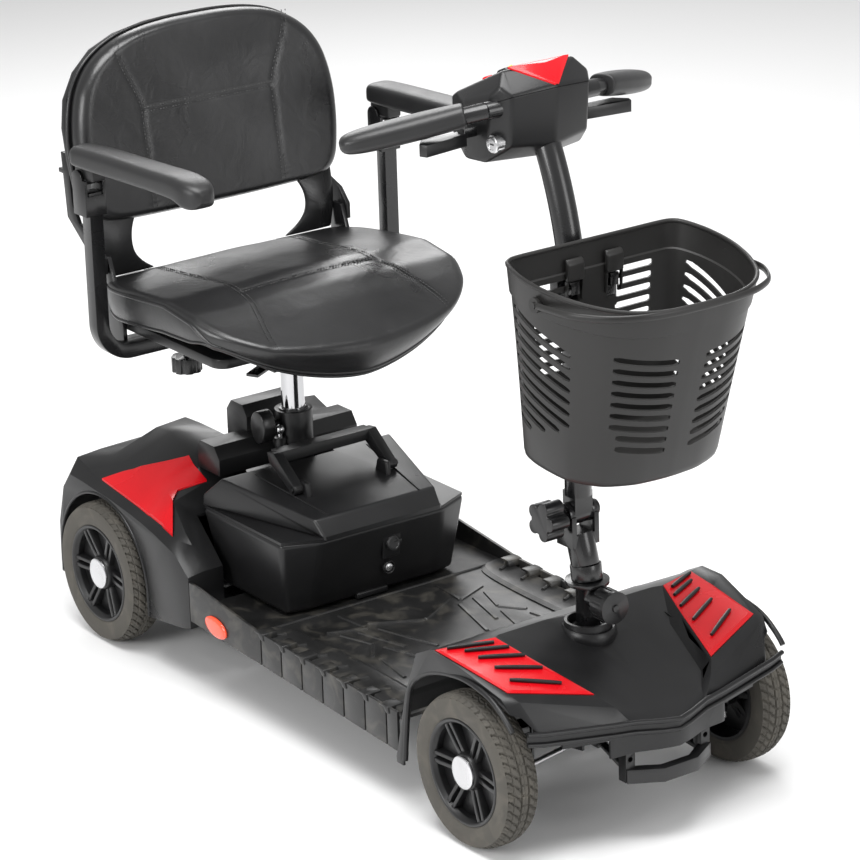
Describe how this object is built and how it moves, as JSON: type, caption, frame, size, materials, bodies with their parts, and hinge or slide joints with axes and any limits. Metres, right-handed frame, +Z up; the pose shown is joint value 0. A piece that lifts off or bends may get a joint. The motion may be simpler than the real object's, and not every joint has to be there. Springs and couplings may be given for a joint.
{
  "type": "mobility scooter",
  "caption": "Compact take-apart mobility scooter with padded swivel chair, folding tiller, wire-free front basket, lift-out battery box and coloured body panels.",
  "frame": {"origin": "on the floor, under the centre of the whole scooter's bounding box", "axes": "+X forwards, the way the scooter drives; +Y towards the rider's left; +Z up"},
  "size_m": [1.181, 0.528, 0.9376],
  "materials": {
    "black_shell": "fine textured injection moulding",
    "red_gloss": "smooth gloss",
    "deck_black": "embossed matt",
    "tyre_grey": "matt, treaded",
    "wheel_black": "satin",
    "frame_black": "powder coated",
    "chrome_post": "polished",
    "steel_bright": "zinc plated",
    "upholstery": "black vinyl with fine grain",
    "soft_pad": "moulded polyurethane",
    "knob_black": "satin",
    "reflector": "prismatic",
    "cell_grey": "matt",
    "motor_metal": "painted",
    "basket_plastic": "satin",
    "dial_black": "satin",
    "horn_red": "satin"
  },
  "bodies": {
    "chassis": {"front_frame": "frame_black", "deck_cover": "deck_black", "front_cowl": "black_shell", "red_panels": "red_gloss", "nose_bumper": "knob_black", "side_reflectors": "reflector", "rear_frame": "frame_black", "rear_shell": "black_shell", "post_tower": "black_shell", "drive_unit": "motor_metal", "controller_box": "cell_grey", "cowl_ribs": "black_shell"},
    "rear_left_wheel": {"rear_left_tyre": "tyre_grey", "rear_left_rim": "wheel_black"},
    "rear_right_wheel": {"rear_right_tyre": "tyre_grey", "rear_right_rim": "wheel_black"},
    "left_knuckle": {"left_knuckle": "frame_black"},
    "right_knuckle": {"right_knuckle": "frame_black"},
    "front_left_wheel": {"front_left_tyre": "tyre_grey", "front_left_rim": "wheel_black"},
    "front_right_wheel": {"front_right_tyre": "tyre_grey", "front_right_rim": "wheel_black"},
    "left_tie_rod": {"left_tie_rod": "steel_bright"},
    "right_tie_rod": {"right_tie_rod": "steel_bright"},
    "steering_stem": {"steering_stem": "frame_black"},
    "stem_lock_knob": {"stem_lock_knob": "knob_black"},
    "tiller": {"tiller_tube": "frame_black", "hand_grips": "soft_pad", "head_upper_shell": "black_shell", "head_lower_shell": "black_shell", "head_red_panel": "red_gloss"},
    "fold_knob": {"fold_knob": "knob_black"},
    "throttle_lever": {"throttle_lever": "knob_black"},
    "speed_dial": {"speed_dial": "dial_black"},
    "horn_button": {"horn_button": "horn_red"},
    "key_switch": {"key_switch": "steel_bright"},
    "basket": {"basket": "basket_plastic"},
    "basket_handle": {"basket_handle": "basket_plastic"},
    "battery_box": {"battery_case": "black_shell", "battery_lid": "black_shell", "battery_cells": "cell_grey"},
    "battery_handle": {"battery_handle": "black_shell"},
    "charge_cap": {"charge_cap": "black_shell"},
    "breaker_button": {"breaker_button": "steel_bright"},
    "seat_post": {"seat_post": "chrome_post"},
    "seat": {"seat_frame": "frame_black", "seat_pan": "black_shell", "seat_cushion": "upholstery"},
    "swivel_lever": {"swivel_lever": "frame_black"},
    "backrest": {"back_shell": "black_shell", "back_cushion": "upholstery"},
    "left_arm": {"left_arm_tube": "frame_black"},
    "right_arm": {"right_arm_tube": "frame_black"},
    "left_arm_pad": {"left_arm_pad": "soft_pad"},
    "right_arm_pad": {"right_arm_pad": "soft_pad"},
    "left_arm_knob": {"left_arm_knob": "knob_black"},
    "right_arm_knob": {"right_arm_knob": "knob_black"},
    "post_lock_knob": {"post_lock_knob": "knob_black"},
    "pull_pin": {"pull_pin": "steel_bright"},
    "freewheel_lever": {"freewheel_lever": "steel_bright"}
  },
  "joints": [
    {"name": "rear_left_axle", "type": "hinge", "parent": "chassis", "child": "rear_left_wheel", "pos_m": [-0.472, 0.201, 0.1], "axis": [0, 1, 0], "continuous": true},
    {"name": "rear_right_axle", "type": "hinge", "parent": "chassis", "child": "rear_right_wheel", "pos_m": [-0.472, -0.201, 0.1], "axis": [0, 1, 0], "continuous": true},
    {"name": "steering", "type": "hinge", "parent": "chassis", "child": "steering_stem", "pos_m": [0.352, 0, 0.16], "axis": [0, 0, 1], "range_deg": [-28, 28]},
    {"name": "left_kingpin", "type": "hinge", "parent": "chassis", "child": "left_knuckle", "pos_m": [0.384, 0.155, 0.1], "axis": [0, 0, 1], "range_deg": [-28, 28]},
    {"name": "right_kingpin", "type": "hinge", "parent": "chassis", "child": "right_knuckle", "pos_m": [0.384, -0.155, 0.1], "axis": [0, 0, 1], "range_deg": [-28, 28]},
    {"name": "front_left_axle", "type": "hinge", "parent": "left_knuckle", "child": "front_left_wheel", "pos_m": [0.384, 0.201, 0.1], "axis": [0, 1, 0], "continuous": true},
    {"name": "front_right_axle", "type": "hinge", "parent": "right_knuckle", "child": "front_right_wheel", "pos_m": [0.384, -0.201, 0.1], "axis": [0, 1, 0], "continuous": true},
    {"name": "left_rod_joint", "type": "hinge", "parent": "steering_stem", "child": "left_tie_rod", "pos_m": [0.392, 0, 0.0875], "axis": [0, 0, 1], "range_deg": [-28, 28]},
    {"name": "right_rod_joint", "type": "hinge", "parent": "steering_stem", "child": "right_tie_rod", "pos_m": [0.392, 0, 0.1025], "axis": [0, 0, 1], "range_deg": [-28, 28]},
    {"name": "stem_lock", "type": "hinge", "parent": "steering_stem", "child": "stem_lock_knob", "pos_m": [0.388, 0, 0.266], "axis": [1, 0, 0], "range_deg": [0, 360]},
    {"name": "tiller_fold", "type": "hinge", "parent": "steering_stem", "child": "tiller", "pos_m": [0.334, 0, 0.373], "axis": [0, -1, 0], "range_deg": [0, 30]},
    {"name": "fold_clamp", "type": "hinge", "parent": "steering_stem", "child": "fold_knob", "pos_m": [0.334, -0.044, 0.373], "axis": [0, 1, 0], "range_deg": [0, 360]},
    {"name": "throttle", "type": "hinge", "parent": "tiller", "child": "throttle_lever", "pos_m": [0.25, 0, 0.856], "axis": [0, 0, 1], "range_deg": [-12, 12], "stiffness_Nm_per_rad": 0.6},
    {"name": "speed_setting", "type": "hinge", "parent": "tiller", "child": "speed_dial", "pos_m": [0.214, 0, 0.9056], "axis": [-0.4401, 0, 0.8979], "range_deg": [-135, 135]},
    {"name": "horn_press", "type": "slide", "parent": "tiller", "child": "horn_button", "axis": [0.4401, 0, -0.8979], "range_m": [0, 0.002], "stiffness_N_per_m": 400},
    {"name": "key_turn", "type": "hinge", "parent": "tiller", "child": "key_switch", "pos_m": [0.278, -0.07, 0.847], "axis": [0, 1, 0], "range_deg": [0, 90]},
    {"name": "basket_lift", "type": "slide", "parent": "tiller", "child": "basket", "axis": [0, 0, 1], "range_m": [0, 0.012]},
    {"name": "basket_bail", "type": "hinge", "parent": "basket", "child": "basket_handle", "pos_m": [0.454, 0, 0.703], "axis": [0, -1, 0], "range_deg": [0, 110]},
    {"name": "battery_lift", "type": "slide", "parent": "chassis", "child": "battery_box", "axis": [0.6, 0, 0.8], "range_m": [0, 0.14]},
    {"name": "battery_grip", "type": "hinge", "parent": "battery_box", "child": "battery_handle", "pos_m": [-0.182, 0, 0.273], "axis": [0, 1, 0], "range_deg": [0, 75]},
    {"name": "charge_cap_hinge", "type": "hinge", "parent": "battery_box", "child": "charge_cap", "pos_m": [-0.0945, 0.03, 0.198], "axis": [0, 0, 1], "range_deg": [0, 110]},
    {"name": "breaker_press", "type": "slide", "parent": "battery_box", "child": "breaker_button", "axis": [-1, 0, 0], "range_m": [0, 0.003], "stiffness_N_per_m": 400},
    {"name": "seat_height", "type": "slide", "parent": "chassis", "child": "seat_post", "axis": [0, 0, 1], "range_m": [-0.04, 0.05]},
    {"name": "seat_swivel", "type": "hinge", "parent": "seat_post", "child": "seat", "pos_m": [-0.299, 0, 0.43], "axis": [0, 0, 1], "continuous": true},
    {"name": "swivel_release", "type": "hinge", "parent": "seat", "child": "swivel_lever", "pos_m": [-0.264, -0.04, 0.433], "axis": [0, 0, 1], "range_deg": [-14, 0], "stiffness_Nm_per_rad": 0.5},
    {"name": "back_fold", "type": "hinge", "parent": "seat", "child": "backrest", "pos_m": [-0.452, 0, 0.548], "axis": [0, 1, 0], "range_deg": [0, 90]},
    {"name": "left_arm_width", "type": "slide", "parent": "seat", "child": "left_arm", "axis": [0, 1, 0], "range_m": [-0.01, 0.05]},
    {"name": "right_arm_width", "type": "slide", "parent": "seat", "child": "right_arm", "axis": [0, -1, 0], "range_m": [-0.01, 0.05]},
    {"name": "left_pad_flip", "type": "hinge", "parent": "left_arm", "child": "left_arm_pad", "pos_m": [-0.408, 0.239, 0.69], "axis": [0, -1, 0], "range_deg": [0, 90]},
    {"name": "right_pad_flip", "type": "hinge", "parent": "right_arm", "child": "right_arm_pad", "pos_m": [-0.408, -0.239, 0.69], "axis": [0, -1, 0], "range_deg": [0, 90]},
    {"name": "left_arm_clamp", "type": "hinge", "parent": "seat", "child": "left_arm_knob", "pos_m": [-0.399, 0.105, 0.402], "axis": [0, 0, 1], "range_deg": [0, 360]},
    {"name": "right_arm_clamp", "type": "hinge", "parent": "seat", "child": "right_arm_knob", "pos_m": [-0.399, -0.105, 0.402], "axis": [0, 0, 1], "range_deg": [0, 360]},
    {"name": "post_clamp", "type": "hinge", "parent": "chassis", "child": "post_lock_knob", "pos_m": [-0.299, -0.05, 0.324], "axis": [0, 1, 0], "range_deg": [0, 360]},
    {"name": "post_pin", "type": "slide", "parent": "chassis", "child": "pull_pin", "axis": [0, 0, 1], "range_m": [0, 0.008], "stiffness_N_per_m": 900},
    {"name": "freewheel", "type": "hinge", "parent": "chassis", "child": "freewheel_lever", "pos_m": [-0.492, -0.066, 0.14], "axis": [0, 1, 0], "range_deg": [0, 35]}
  ],
  "couplings": [
    {"joint": "left_kingpin", "follows": "steering", "ratio": 1},
    {"joint": "right_kingpin", "follows": "steering", "ratio": 1},
    {"joint": "left_rod_joint", "follows": "steering", "ratio": -1},
    {"joint": "right_rod_joint", "follows": "steering", "ratio": -1}
  ]
}
